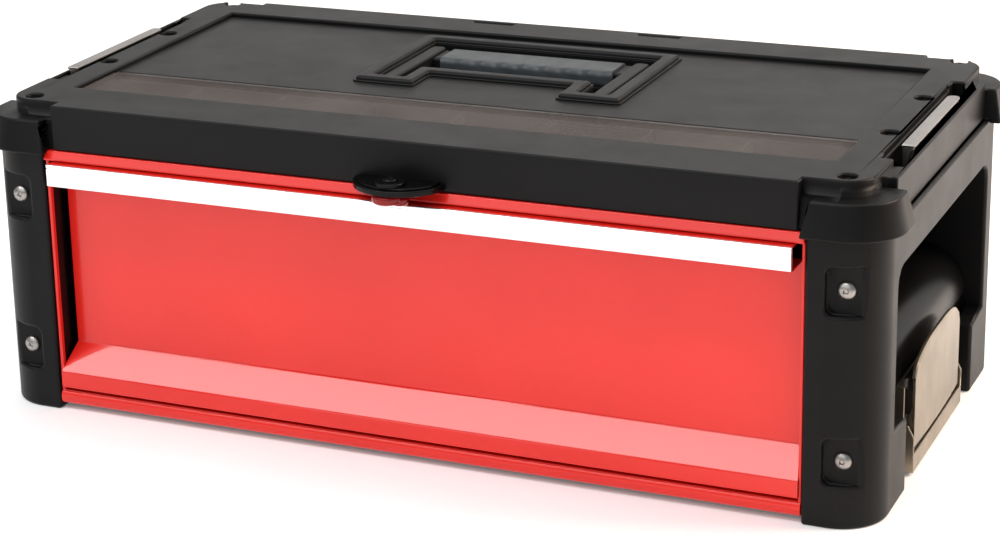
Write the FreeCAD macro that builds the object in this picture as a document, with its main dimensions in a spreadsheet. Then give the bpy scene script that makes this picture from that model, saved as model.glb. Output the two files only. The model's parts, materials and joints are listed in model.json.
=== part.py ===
import FreeCAD, Part
import math
import os
import Sketcher
from FreeCAD import Vector

# Stackable metal tool box: a black steel case with one red drawer, hung between two black
# plastic side frames under a moulded top deck.  Millimetres.  +X is to the right, -Y is the
# drawer's front, +Z is up, and Z = 0 is the plane of the feet.  Lengths along Y are measured
# from the middle of the side frames, and every sub-part is then moved back by centre_shift, so
# that the origin ends up under the middle of the whole box.

DIMENSIONS = {
    "centre_shift": 7.35,
    # side frames
    "post_in": 205.0, "post_out": 241.0, "frame_half": 124.5, "post_top": 157.0,
    "corner_radius": 24.0, "gap_half": 92.0, "gap_top": 121.0, "gap_corner": 9.0, "bar_top": 145.0,
    "foot_half": 68.0, "foot_height": 38.0, "foot_slope_top": 41.0, "foot_back": 231.5,
    "wall": 3.0, "seat_depth": 5.7, "seat_inner": 214.5, "seat_height": 23.4,
    "seat_corner": 4.0,
    "rivet_across": 223.4, "rivet_low": 33.4, "rivet_high": 118.2,
    "rivet_head": 4.6, "rivet_shank": 2.4, "rivet_rise": 2.6, "clearance": 0.1,
    # steel case
    "sheet": 1.5, "case_half": 204.3, "case_floor": 3.4, "case_top": 144.6,
    "case_front": 119.0, "case_rear": 120.0, "ring_half": 204.6, "ring_opening": 202.9,
    "rail_top": 10.7, "head_rail_low": 139.9, "ring_front": 122.3,
    # drawer
    "drawer_half": 200.2, "front_face": 124.0, "panel_face": 110.0, "lip_low": 12.6,
    "lip_high": 21.6, "slope_top": 35.0, "hem_low": 127.0, "drawer_top": 139.4,
    "hem_face": 127.7, "lip_half": 203.2, "strip_face": 129.5, "strip_low": 127.6, "strip_high": 139.3,
    "tray_half": 190.0, "tray_rear": 100.0, "tray_low": 17.0, "tray_top": 125.0,
    # drawer slides
    "slide_middle": 81.0, "slide_reach": 19.0, "slide_front": 98.0, "slide_rear": 108.0,
    "slide_lip": 191.6, "runner_reach": 12.0, "runner_front": 97.0, "runner_lip": 199.5,
    "slide_sheet": 1.2, "track_across": 196.0, "ball_radius": 2.75, "ball_height": 14.9,
    "cage_middle": -6.0, "cage_half": 25.0, "cage_reach": 15.3, "cage_sheet": 0.8,
    "cage_web": 200.0, "cage_lip": 192.5, "ball_pitch": 9.0,
    # top deck
    "deck_half": 200.5, "deck_front": 121.5, "deck_low": 145.0, "deck_top": 169.0,
    "side_skirt": 238.5, "side_top": 165.5, "rim_half": 224.5, "boss_half": 232.0,
    "boss_front": 114.0, "boss_rear": 117.0, "boss_inner": 64.0, "boss_radius": 14.0,
    "cap_out": 247.5, "cap_front": 128.3, "cap_low": 143.5, "cap_high": 161.0,
    "cap_inner": 88.0, "cap_in": 202.5, "cap_step": 120.5, "cap_radius": 27.0,
    "panel_top": 166.5, "ceiling": 163.3, "recess_half": 208.0, "recess_front": 84.2,
    "recess_rear": 92.7, "window_rear": 39.5,
    "trough_in": 225.5, "trough_out": 236.5, "trough_half": 72.0, "trough_floor": 152.0,
    "slot_middle": 50.0, "slot_half": 12.0, "slot_front": 114.2, "slot_rear": 117.2,
    "slot_depth": 1.5,
    "screw_across": 219.0, "screw_head": 4.4, "screw_hole": 2.2, "screw_shank": 2.0,
    "screw_seat": 165.0, "screw_boss": 5.5, "screw_end": 150.0,
    # handle
    "well_half": 66.0, "well_rear": 71.0, "well_front": 8.0, "well_tongue": 50.0,
    "well_step": 14.0, "border": 10.0, "border_top": 169.5,
    "pivot_height": 162.0, "pivot_radius": 2.0, "bail_half": 63.8, "leg_width": 8.0,
    "bail_front": 5.0, "bar_front": 41.0, "bar_rear": 61.0, "bar_low": 159.0, "bar_high": 166.0,
    "bail_low": 157.5, "bail_top": 167.5, "grip_half": 50.0, "grip_skin": 1.5,
    "running": 0.05,
    # organiser
    "bins_half": 206.5, "bins_front": 83.4, "bins_rear": 40.0, "bins_low": 145.0,
    "bins_top": 164.2, "bins_relief": 162.4, "bin_count": 8,
    "cover_low": 164.3, "cover_top": 166.9, "cover_half": 207.6,
    "cover_front": 83.8, "cover_rear": 40.2, "divider": 1.2,
    "cover_axis": 42.6, "cover_axis_height": 165.4, "cover_pin": 0.8,
    # lock
    "lug_half": 24.0, "lug_reach": 21.5, "lug_low": 146.8, "lug_top": 150.4, "hub_top": 152.4,
    "hub_radius": 8.0, "button_half": 10.4, "button_depth": 9.2, "button_low": 140.4,
    "button_top": 146.5, "lock_axis": 133.6, "lock_stem": 2.5, "lock_screw": 4.0,
    # keepers
    "keeper_in": 229.0, "keeper_out": 235.5, "keeper_leg_out": 235.0, "keeper_half": 47.0,
    "keeper_top": 168.5, "keeper_foot": 35.0,
    # side latches
    "housing_in": 204.4, "housing_out": 230.0, "housing_low": 5.0, "housing_top": 73.0,
    "housing_radius": 22.0, "plate": 1.2, "base_half": 50.0, "base_low": 12.0,
    "base_high": 46.0, "cheek_low": 28.5, "cheek_out": 235.0, "lug_span": 44.4,
    "lever_axis_out": 236.6, "lever_axis_height": 15.2, "hook_axis_out": 235.8,
    "hook_axis_height": 23.5, "latch_pin": 1.25, "knuckle": 2.4,
    "lever_out": 240.4, "lever_half": 46.0, "lever_low": 12.0, "lever_shoulder": 50.0,
    "lever_top": 63.2, "hook_half": 50.2, "hook_low": 1.6, "hook_web_top": 11.0,
    "hook_in": 235.6, "hook_lip": 5.6,
}


class Size:
    """A length together with the spreadsheet expression that drives it."""

    def __init__(self, value, text):
        self.value = float(value)
        self.text = text

    def __add__(self, other):
        other = size(other)
        return Size(self.value + other.value, f"({self.text} + {other.text})")

    def __radd__(self, other):
        return size(other) + self

    def __sub__(self, other):
        other = size(other)
        return Size(self.value - other.value, f"({self.text} - {other.text})")

    def __rsub__(self, other):
        return size(other) - self

    def __mul__(self, factor):
        return Size(self.value * factor, f"({self.text} * {factor})")

    __rmul__ = __mul__

    def __neg__(self):
        return self * -1


def size(value):
    return value if isinstance(value, Size) else Size(value, f"({float(value)})")


class Sheet:
    """The driving dimensions, read as attributes: dim.post_in and so on."""

    def __init__(self, document):
        sheet = document.addObject("Spreadsheet::Sheet", "Dimensions")
        for row, (alias, value) in enumerate(DIMENSIONS.items(), start=1):
            sheet.set(f"A{row}", alias)
            sheet.set(f"B{row}", str(value))
            sheet.setAlias(f"B{row}", alias)
            setattr(self, alias, Size(value, f"Dimensions.{alias}"))


doc = FreeCAD.newDocument("tool_box")
dim = Sheet(doc)
doc.recompute()
sub_parts = []
cuts = []

# Each origin plane, and which way its normal points along the third axis.
PLANES = {"XY": ("XY_Plane", 1), "XZ": ("XZ_Plane", -1), "YZ": ("YZ_Plane", 1)}
ENDS = (-1, 1)


# ---------------------------------------------------------------- sketches and features

def bind(thing, name, value):
    """Drive one property or constraint by a length."""
    thing.setExpression(name, size(value).text)


def new_body(name):
    """A sub-part: a body whose label names its file, set back by centre_shift."""
    body = doc.addObject("PartDesign::Body", name)
    body.Label = name
    body.AllowCompound = True
    bind(body, "Placement.Base.y", dim.centre_shift)
    sub_parts.append(body)
    return body


def place_sketch(body, plane, level):
    """An empty sketch on one of the body's own origin planes, at a level along the third axis."""
    role, direction = PLANES[plane]
    sketch = body.newObject("Sketcher::SketchObject", "Sketch")
    support = [feature for feature in body.Origin.OriginFeatures if feature.Role == role][0]
    sketch.AttachmentSupport = [(support, "")]
    sketch.MapMode = "FlatFace"
    bind(sketch, "AttachmentOffset.Base.z", size(level) * direction)
    return sketch


def constrain(sketch, value, kind, *where):
    """A driven sketch constraint."""
    index = sketch.addConstraint(Sketcher.Constraint(kind, *where, size(value).value))
    bind(sketch, f"Constraints[{index}]", value)


def pin_point(sketch, geometry, position, point):
    """Fix one sketch point at driven coordinates."""
    constrain(sketch, point[0], "DistanceX", -1, 1, geometry, position)
    constrain(sketch, point[1], "DistanceY", -1, 1, geometry, position)


def flat(point):
    return Vector(size(point[0]).value, size(point[1]).value, 0)


def add_circle(sketch, centre, radius):
    circle = sketch.addGeometry(Part.Circle(flat(centre), Vector(0, 0, 1), size(radius).value))
    pin_point(sketch, circle, 3, centre)
    constrain(sketch, radius, "Radius", circle)


def add_ellipse(sketch, centre, half_long, half_short):
    """An ellipse whose long half-axis lies along the sketch's first axis."""
    middle = flat(centre)
    tip = middle + Vector(size(half_long).value, 0, 0)
    side = middle + Vector(0, size(half_short).value, 0)
    ellipse = sketch.addGeometry(Part.Ellipse(tip, side, middle))
    sketch.exposeInternalGeometry(ellipse)
    long_axis, short_axis = ellipse + 1, ellipse + 2
    pin_point(sketch, ellipse, 3, centre)
    sketch.addConstraint(Sketcher.Constraint("Horizontal", long_axis))
    constrain(sketch, size(half_long) * 2, "Distance", long_axis)
    constrain(sketch, size(half_short) * 2, "Distance", short_axis)


def rounded_corner(corner, before, after):
    """Where the arc that rounds a corner (x, y, radius) starts, its centre, and its end."""
    point, radius = flat(corner), size(corner[2]).value
    back, on = (flat(before) - point).normalize(), (flat(after) - point).normalize()
    half_angle = back.getAngle(on) / 2
    reach = radius / math.tan(half_angle)
    centre = point + (back + on).normalize() * (radius / math.sin(half_angle))
    return point + back * reach, centre, point + on * reach


def add_outline(sketch, corners):
    """A closed outline of straight edges.  A corner (x, y, radius) is rounded."""
    count = len(corners)
    ends, starts, centres = {}, {}, {}
    for i, corner in enumerate(corners):
        ends[i] = starts[i] = flat(corner)
        if len(corner) == 3:
            before, after = corners[i - 1], corners[(i + 1) % count]
            ends[i], centres[i], starts[i] = rounded_corner(corner, before, after)
    lines = [sketch.addGeometry(Part.LineSegment(starts[i], ends[(i + 1) % count]))
             for i in range(count)]
    for i, corner in enumerate(corners):
        arriving, leaving = lines[i - 1], lines[i]
        if i not in centres:
            sketch.addConstraint(Sketcher.Constraint("Coincident", arriving, 2, leaving, 1))
            pin_point(sketch, leaving, 1, corner)
            continue
        radius = size(corner[2]).value
        nearest = centres[i] + (flat(corner) - centres[i]).normalize() * radius
        arc = sketch.addGeometry(Part.Arc(ends[i], nearest, starts[i]))
        gaps = [(sketch.getPoint(arc, end) - ends[i]).Length for end in (1, 2)]
        first, last = (1, 2) if gaps[0] < gaps[1] else (2, 1)
        sketch.addConstraint(Sketcher.Constraint("Tangent", arriving, 2, arc, first))
        sketch.addConstraint(Sketcher.Constraint("Tangent", arc, last, leaving, 1))
        constrain(sketch, corner[2], "Radius", arc)
        vertex = sketch.addGeometry(Part.Point(flat(corner)), True)
        pin_point(sketch, vertex, 1, corner[:2])
        sketch.addConstraint(Sketcher.Constraint("PointOnObject", vertex, 1, arriving))
        sketch.addConstraint(Sketcher.Constraint("PointOnObject", vertex, 1, leaving))


def circle(centre, radius):
    return "circle", centre, radius


def ellipse(centre, half_long, half_short):
    return "ellipse", centre, half_long, half_short


def draw(sketch, loops):
    for loop in loops:
        if loop[0] == "circle":
            add_circle(sketch, *loop[1:])
        elif loop[0] == "ellipse":
            add_ellipse(sketch, *loop[1:])
        else:
            add_outline(sketch, loop)


def pad(body, plane, levels, *loops, taper=0):
    """Material between two levels of the axis across the plane."""
    low, high = levels
    sketch = place_sketch(body, plane, low if PLANES[plane][1] > 0 else high)
    draw(sketch, loops)
    feature = body.newObject("PartDesign::Pad", "Pad")
    feature.Profile = sketch
    bind(feature, "Length", size(high) - low)
    feature.TaperAngle = taper
    body.Tip = feature
    return feature


def pocket(body, plane, levels, *loops):
    """A cut between two levels of the axis across the plane."""
    low, high = levels
    sketch = place_sketch(body, plane, high if PLANES[plane][1] > 0 else low)
    draw(sketch, loops)
    base = body.Tip
    feature = body.newObject("PartDesign::Pocket", "Pocket")
    feature.Profile = sketch
    bind(feature, "Length", size(high) - low)
    body.Tip = feature
    cuts.append((feature, base))
    return feature


def box(first, second, *radius):
    """Four corners from two ranges, all rounded to the radius if one is given."""
    corners = [(first[0], second[0]), (first[1], second[0]),
               (first[1], second[1]), (first[0], second[1])]
    return [corner + radius for corner in corners]


def both(half):
    """A range centred on zero."""
    return -size(half), size(half)


def outward(sign, near, far):
    """A range at the given distances from the middle, on the side of the sign, low end first."""
    return (size(near), size(far)) if sign > 0 else (-size(far), -size(near))


def turned(sign, corners):
    """Corners laid out for the positive side, turned over in their first coordinate."""
    return [(size(corner[0]) * sign,) + tuple(corner[1:]) for corner in corners]


def around(middle, half):
    return middle - half, middle + half


# ---------------------------------------------------------------- side frames

def side_frame(name, side):
    """A moulded portal: two hollow legs under a hollow bar, open between the legs."""
    body = new_body(name)
    inner, outer, half, wall = dim.post_in, dim.post_out, dim.frame_half, dim.wall
    pad(body, "XY", (dim.gap_top, dim.bar_top), box(outward(side, inner, outer), both(dim.gap_half)))
    for end in ENDS:
        gap = dim.gap_half * end
        leg = [(inner, half * end), (outer, half * end, dim.corner_radius), (outer, gap), (inner, gap)]
        pad(body, "XY", (0, dim.post_top), turned(side, leg))
        foot = [(gap, 0), (dim.foot_half * end, 0), (dim.foot_half * end, dim.foot_height),
                (gap, dim.foot_slope_top)]
        pad(body, "YZ", outward(side, dim.foot_back, outer), foot)
        pad(body, "YZ", outward(side, inner, outer), gusset(end))
    bar_hollow = box(outward(side, inner + wall, outer - wall), both(dim.gap_half))
    pocket(body, "XY", (dim.gap_top + wall, dim.bar_top), bar_hollow)
    back = half - dim.seat_depth - wall
    round_centre = half - dim.corner_radius
    for end in ENDS:
        hollow = [(inner + wall, back * end), (outer - 20, back * end),
                  (outer - 9.5, (back - 4.5) * end), (outer - wall, round_centre * end),
                  (outer - wall, (dim.gap_half + wall) * end), (inner + wall, (dim.gap_half + wall) * end)]
        pocket(body, "XY", (0, dim.post_top - wall), turned(side, hollow))
        seats = [turned(side, rivet_seat(height)) for height in (dim.rivet_low, dim.rivet_high)]
        pocket(body, "XZ", outward(end, half - dim.seat_depth, half + 5), *seats)
        holes = [circle((dim.rivet_across * side, height), dim.rivet_shank + dim.clearance)
                 for height in (dim.rivet_low, dim.rivet_high)]
        pocket(body, "XZ", outward(end, back - 3, half), *holes)
    screw_holes = [circle((dim.screw_across * side, y), dim.screw_shank + dim.clearance)
                   for y in corner_screws()]
    pocket(body, "XY", (dim.post_top - wall - 1, dim.post_top), *screw_holes)


def gusset(end):
    """The rounding between a leg and the bar: three short faces along a quarter circle."""
    gap, top, reach = dim.gap_half * end, dim.gap_top, dim.gap_corner
    steps = [(1 - math.sin(turn), 1 - math.cos(turn)) for turn in (math.pi / 6, math.pi / 3)]
    bend = [(gap - reach * (end * out), top - reach * down) for down, out in steps]
    return [(gap, top), (gap, top - reach), *bend, (gap - reach * end, top)]


def rivet_seat(height):
    """One seat seen from the front: rounded towards the case, running out at the post's corner."""
    half, inner, outer, corner = dim.seat_height * 0.5, dim.seat_inner, dim.post_out + 5, dim.seat_corner
    return [(inner, height - half, corner), (outer, height - half), (outer, height + half),
            (inner, height + half, corner)]


def corner_screws():
    """Where the deck's screws enter the four posts, along Y."""
    return -(dim.boss_front - 8), dim.boss_rear - 3.5


def frame_rivets():
    """Eight rivets through the seats of the legs, each with a head and a set tail."""
    body = new_body("frame_rivets")
    seat = dim.frame_half - dim.seat_depth
    tail = seat - dim.wall
    for end in ENDS:
        places = [(dim.rivet_across * side, height)
                  for side in ENDS for height in (dim.rivet_low, dim.rivet_high)]
        pad(body, "XZ", outward(end, seat, seat + dim.rivet_rise),
            *[circle(place, dim.rivet_head) for place in places])
        pad(body, "XZ", outward(end, tail - 1, seat), *[circle(place, dim.rivet_shank) for place in places])
        pad(body, "XZ", outward(end, tail - 2.2, tail - 1),
            *[circle(place, dim.rivet_shank) for place in places])


# ---------------------------------------------------------------- steel case

def case_shell():
    """The folded floor and sides."""
    body = new_body("case_shell")
    outer, inner = dim.case_half, dim.case_half - dim.sheet
    low, high = dim.case_floor, dim.case_top - dim.sheet
    fold = [(-outer, high), (-outer, low), (outer, low), (outer, high),
            (inner, high), (inner, low + dim.sheet), (-inner, low + dim.sheet), (-inner, high)]
    pad(body, "XZ", (-dim.case_front, dim.case_rear), fold)


def case_lid():
    body = new_body("case_lid")
    outline = box(both(dim.case_half), (-dim.case_front, dim.case_rear))
    pad(body, "XY", (dim.case_top - dim.sheet, dim.case_top), outline)


def case_back():
    body = new_body("case_back")
    outline = box(both(dim.case_half - dim.sheet - dim.clearance),
                  (dim.case_floor + dim.sheet, dim.case_top - dim.sheet))
    pad(body, "XZ", (dim.case_rear - dim.sheet, dim.case_rear), outline)


def front_frame():
    """The red ring that the drawer closes into: head rail, two stiles and the bottom rail."""
    body = new_body("front_frame")
    opening = box(both(dim.ring_opening), (dim.rail_top, dim.head_rail_low))
    outline = box(both(dim.ring_half), (dim.case_floor, dim.deck_low - 0.2))
    pad(body, "XZ", (-dim.ring_front, -dim.case_front), outline, opening)


# ---------------------------------------------------------------- drawer

def drawer_front():
    """Folded sheet: a wide lip, a sloping shoulder, a recessed panel and a deep hem at the top."""
    body = new_body("drawer_front")
    t = dim.sheet
    lip, panel, hem = -dim.front_face, -dim.panel_face, -dim.hem_face
    fold = [(panel, dim.lip_low), (lip, dim.lip_low), (lip, dim.lip_high), (panel, dim.slope_top),
            (panel, dim.hem_low), (hem, dim.hem_low), (hem, dim.drawer_top), (panel + t, dim.drawer_top),
            (panel + t, dim.drawer_top - t), (hem + t, dim.drawer_top - t), (hem + t, dim.hem_low + t),
            (panel + t, dim.hem_low + t), (panel + t, dim.slope_top - t * 0.4),
            (lip + t, dim.lip_high - t * 0.4), (lip + t, dim.lip_low + t), (panel, dim.lip_low + t)]
    pad(body, "YZ", both(dim.drawer_half), fold)
    pad(body, "YZ", both(dim.lip_half), box((lip, lip + t), (dim.lip_low, dim.lip_high - t)))


def pull_strip():
    body = new_body("pull_strip")
    outline = box((-dim.strip_face, -dim.hem_face), (dim.strip_low, dim.strip_high), 0.8)
    pad(body, "YZ", both(dim.drawer_half), outline)


def drawer_tray():
    body = new_body("drawer_tray")
    front, t = -(dim.panel_face - dim.sheet), dim.sheet
    pad(body, "XY", (dim.tray_low, dim.tray_top), box(both(dim.tray_half), (front, dim.tray_rear)))
    pocket(body, "XY", (dim.tray_low + t, dim.tray_top),
           box(both(dim.tray_half - t), (front + t, dim.tray_rear - t)))


# ---------------------------------------------------------------- ball slides

def channel(side, web, lip, half, thickness):
    """A C profile around slide_middle: its web stands across X at web, its lips reach to lip."""
    into = 1 if lip.value > web.value else -1
    middle, inside = dim.slide_middle, half - thickness
    face = web + thickness * into
    corners = [(web, middle - half), (lip, middle - half), (lip, middle - inside),
               (face, middle - inside), (face, middle + inside), (lip, middle + inside),
               (lip, middle + half), (web, middle + half)]
    return turned(side, corners)


def ball_rows():
    """How far the balls stand from the middle of the cage, along Y."""
    return [dim.ball_pitch * step for step in (-2, -1, 0, 1, 2)]


def outer_slide(name, side):
    body = new_body(name)
    profile = channel(side, dim.case_half - dim.sheet, dim.slide_lip, dim.slide_reach, dim.slide_sheet)
    pad(body, "XZ", (-dim.slide_front, dim.slide_rear), profile)


def drawer_runner(name, side):
    body = new_body(name)
    profile = channel(side, dim.tray_half, dim.runner_lip, dim.runner_reach, dim.slide_sheet)
    pad(body, "XZ", (-dim.runner_front, dim.tray_rear), profile)


def ball_cage(name, side):
    """A thin C whose lips are drilled for the balls."""
    body = new_body(name)
    profile = channel(side, dim.cage_web + dim.cage_sheet, dim.cage_lip, dim.cage_reach, dim.cage_sheet)
    pad(body, "XZ", around(dim.cage_middle, dim.cage_half), profile)
    holes = [circle((dim.track_across * side, dim.cage_middle + row), dim.ball_radius + 0.15)
             for row in ball_rows()]
    pocket(body, "XY", around(dim.slide_middle, dim.cage_reach), *holes)


def slide_balls(name, side):
    """The steel balls of one slide, as separate spheres in one group."""
    balls = []
    for level in ENDS:
        for row in ball_rows():
            ball = doc.addObject("Part::Sphere", "ball")
            bind(ball, "Radius", dim.ball_radius)
            bind(ball, "Placement.Base.x", dim.track_across * side)
            bind(ball, "Placement.Base.y", dim.cage_middle + row)
            bind(ball, "Placement.Base.z", dim.slide_middle + dim.ball_height * level)
            balls.append(ball)
    group = doc.addObject("Part::Compound", name)
    group.Label = name
    group.Links = balls
    bind(group, "Placement.Base.y", dim.centre_shift)
    sub_parts.append(group)


# ---------------------------------------------------------------- top deck

def deck_screw_places():
    rows = corner_screws() + (size(-30), size(36))
    return [(dim.screw_across * side, row) for side in ENDS for row in rows]


def well_outline(grow=0):
    """The handle's well seen from above: two leg slots running into one wide slot."""
    half, rear, front = dim.well_half + grow, dim.well_rear + grow, -(dim.well_front + grow)
    tongue, step = dim.well_tongue - grow, dim.well_step - grow
    return [(-half, front), (-tongue, front), (-tongue, step), (tongue, step),
            (tongue, front), (half, front), (half, rear), (-half, rear)]


def top_deck():
    """One moulding: skirts and corner caps that sleeve over the posts, under a rimmed top."""
    body = new_body("top_deck")
    top, low = dim.deck_top, dim.deck_low
    pad(body, "XY", (low, top), box(both(dim.deck_half), both(dim.deck_front)))
    pad(body, "XY", (low, dim.side_top), box(both(dim.side_skirt), both(dim.cap_inner + 2)))
    pad(body, "XY", (150, top), box(both(dim.rim_half), both(dim.cap_inner + 2)))
    for side in ENDS:
        for end, reach in ((-1, dim.boss_front), (1, dim.boss_rear)):
            deck_corner(body, side, end, reach)
    deck_hollows(body)
    deck_bosses(body)
    deck_openings(body)


def deck_corner(body, side, end, reach):
    """A cap that flares out over the post's head, and the boss that stands on it."""
    root = dim.deck_half - 5
    cap = [(dim.cap_in, dim.cap_front * end), (dim.cap_out, dim.cap_front * end, dim.cap_radius),
           (dim.cap_out, dim.cap_inner * end), (root, dim.cap_inner * end),
           (root, dim.cap_step * end), (dim.cap_in, dim.cap_step * end)]
    pad(body, "XY", (dim.cap_low, dim.cap_high), turned(side, cap), taper=-CAP_TAPER)
    boss = [(root, reach * end), (dim.boss_half, reach * end, dim.boss_radius),
            (dim.boss_half, dim.boss_inner * end), (root, dim.boss_inner * end)]
    pad(body, "XY", (150, dim.deck_top), turned(side, boss))


def deck_hollows(body):
    """The undersides: one hollow between the skirts, the gutters' bellies and the post sleeves."""
    wall, low = dim.wall, dim.deck_low
    pocket(body, "XY", (low, dim.ceiling), box(both(dim.deck_half - wall), both(dim.deck_front - wall)))
    pocket(body, "XY", (low, dim.ceiling), box(both(dim.rim_half - wall), both(dim.cap_inner - 2)))
    pocket(body, "XY", (low, dim.trough_floor - wall),
           box(both(dim.side_skirt - wall), both(dim.cap_inner - 2)))
    slack = dim.clearance * 2
    pocket(body, "XY", (dim.cap_low, low), box(both(dim.ring_half + slack), both(dim.ring_front + slack)))
    pocket(body, "XY", (dim.cap_low, low), box(both(dim.post_out + slack), both(dim.gap_half + slack)))
    for side in ENDS:
        for end in ENDS:
            half, inner = dim.frame_half + slack, dim.gap_half - slack
            sleeve = [(dim.post_in - slack, half * end),
                      (dim.post_out + slack, half * end, dim.corner_radius + slack),
                      (dim.post_out + slack, inner * end), (dim.post_in - slack, inner * end)]
            pocket(body, "XY", (dim.cap_low, dim.post_top), turned(side, sleeve))


def deck_bosses(body):
    """The bosses of the four middle screws."""
    bosses = [circle(place, dim.screw_boss) for place in deck_screw_places() if abs(place[1].value) < 60]
    pad(body, "XY", (dim.screw_end - dim.wall, dim.ceiling), *bosses)


def deck_openings(body):
    """Everything cut from above: the opening for panel and cover, troughs, slots and holes."""
    top = dim.deck_top
    opening = box(both(dim.recess_half), (-dim.recess_front, dim.recess_rear))
    pocket(body, "XY", (dim.ceiling, top), opening)
    for side in ENDS:
        trough = box(outward(side, dim.trough_in, dim.trough_out), both(dim.trough_half))
        pocket(body, "XY", (dim.trough_floor, top), trough)
        cover_hole = circle((-dim.cover_axis, dim.cover_axis_height), dim.cover_pin + dim.running)
        pocket(body, "YZ", outward(side, dim.recess_half - 1, dim.recess_half + 4), cover_hole)
        foot_holes = [circle((keeper_middle() * side, rivet * end), dim.screw_shank + dim.clearance)
                      for end in ENDS for rivet in (keeper_rivet_row(),)]
        pocket(body, "XY", (dim.trough_floor - dim.wall, dim.trough_floor), *foot_holes)
    slots = [box(outward(side, dim.slot_middle - dim.slot_half, dim.slot_middle + dim.slot_half),
                 (dim.slot_front, dim.slot_rear)) for side in ENDS]
    pocket(body, "XY", (top - dim.slot_depth, top), *slots)
    places = deck_screw_places()
    pocket(body, "XY", (dim.screw_end - dim.wall, top), *[circle(place, dim.screw_hole) for place in places])
    pocket(body, "XY", (dim.screw_seat, top), *[circle(place, dim.screw_head + 0.2) for place in places])


def deck_panel():
    """The floor of the recess, with the handle's tub below it and the raised border around the well."""
    body = new_body("deck_panel")
    wall, well, gap = dim.wall, well_outline(), dim.running
    sheet_outline = box(both(dim.recess_half - gap), (-dim.window_rear, dim.recess_rear - gap))
    pad(body, "XY", (dim.ceiling, dim.panel_top), sheet_outline)
    tub = box(both(dim.well_half + wall), (-(dim.well_front + wall), dim.well_rear + wall))
    pad(body, "XY", (dim.trough_floor - wall, dim.panel_top), tub)
    pad(body, "XY", (dim.panel_top, dim.border_top), well_outline(dim.border), well)
    pocket(body, "XY", (dim.trough_floor, dim.panel_top), well)
    for side in ENDS:
        pocket(body, "YZ", outward(side, dim.well_tongue - 3, dim.well_half + wall),
               circle((0, dim.pivot_height), dim.pivot_radius + dim.running))


def deck_screws():
    body = new_body("deck_screws")
    places = deck_screw_places()
    pad(body, "XY", (dim.screw_end, dim.screw_seat), *[circle(place, dim.screw_shank) for place in places])
    pad(body, "XY", (dim.screw_seat, dim.screw_seat + dim.screw_head * 0.5),
        *[circle(place, dim.screw_head) for place in places])


# ---------------------------------------------------------------- carry handle

def carry_handle():
    """A bail folded flat in its well: two legs and the bar that the grip is moulded over."""
    body = new_body("carry_handle")
    for side in ENDS:
        leg = box(outward(side, dim.bail_half - dim.leg_width, dim.bail_half),
                  (-dim.bail_front, dim.bar_rear + dim.grip_skin))
        pad(body, "XY", (dim.bail_low, dim.bail_top), leg)
    bar = box((dim.bar_front, dim.bar_rear), (dim.bar_low, dim.bar_high))
    pad(body, "YZ", both(dim.bail_half - 1), bar)
    eye = circle((0, dim.pivot_height), dim.pivot_radius + dim.running)
    pocket(body, "YZ", both(dim.bail_half), eye)


def handle_grip():
    """The soft sleeve over the bar."""
    body = new_body("handle_grip")
    skin = dim.grip_skin
    outside = box((dim.bar_front - skin, dim.bar_rear + skin), (dim.bar_low - skin, dim.bar_high + skin), 3)
    inside = box((dim.bar_front, dim.bar_rear), (dim.bar_low, dim.bar_high))
    pad(body, "YZ", both(dim.grip_half), outside, inside)


def handle_pins():
    body = new_body("handle_pins")
    for side in ENDS:
        pad(body, "YZ", outward(side, dim.well_tongue - 2.8, dim.well_half + dim.wall - 0.5),
            circle((0, dim.pivot_height), dim.pivot_radius))


# ---------------------------------------------------------------- organiser

def organiser_tray():
    """The long tray under the window.  Its rear wall is lower, to let the cover swing."""
    body = new_body("organiser_tray")
    wall = dim.sheet
    front, rear = -dim.bins_front, -dim.bins_rear
    pad(body, "XY", (dim.bins_low, dim.bins_top), box(both(dim.bins_half), (front, rear)))
    pocket(body, "XY", (dim.bins_low + wall, dim.bins_top),
           box(both(dim.bins_half - wall), (front + wall, rear - wall)))
    pocket(body, "XY", (dim.bins_relief, dim.bins_top), box(both(dim.bins_half), (rear - 6, rear)))


def bin_dividers():
    """Loose plates that part the tray into equal bins."""
    body = new_body("bin_dividers")
    wall, gap, count = dim.sheet, dim.clearance, int(dim.bin_count.value)
    span = (-(dim.bins_front - wall - gap), -(dim.bins_rear + wall + gap))
    pitch = (dim.bins_half - wall) * (2 / count)
    places = [pitch * (i - count / 2) for i in range(1, count)]
    plates = [box(around(place, dim.divider * 0.5), span) for place in places]
    pad(body, "XY", (dim.bins_low + wall, dim.bins_relief), *plates)


def organiser_cover():
    """The clear lid over the bins, drilled at both ends for its pins."""
    body = new_body("organiser_cover")
    outline = box(both(dim.cover_half), (-dim.cover_front, -dim.cover_rear))
    pad(body, "XY", (dim.cover_low, dim.cover_top), outline)
    for side in ENDS:
        pocket(body, "YZ", outward(side, dim.cover_half - 8, dim.cover_half),
               circle((-dim.cover_axis, dim.cover_axis_height), dim.cover_pin + dim.running))


def cover_hinge_pins():
    body = new_body("cover_hinge_pins")
    for side in ENDS:
        pad(body, "YZ", outward(side, dim.cover_half - 7.5, dim.recess_half + 3.8),
            circle((-dim.cover_axis, dim.cover_axis_height), dim.cover_pin))


# ---------------------------------------------------------------- lock

def lock_lug():
    """An oval shelf on the front skirt, bored for the lock's stem."""
    body = new_body("lock_lug")
    face = -dim.deck_front
    pad(body, "XY", (dim.lug_low, dim.lug_top), ellipse((0, face), dim.lug_half, dim.lug_reach))
    pad(body, "XY", (dim.lug_top, dim.hub_top), circle((0, -dim.lock_axis), dim.hub_radius))
    behind = box(both(dim.lug_half + 1), (face, face + dim.lug_reach + 1))
    pocket(body, "XY", (dim.lug_low, dim.hub_top), behind)
    pocket(body, "XY", (dim.lug_low, dim.hub_top), circle((0, -dim.lock_axis), dim.lock_stem + dim.running))


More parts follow.
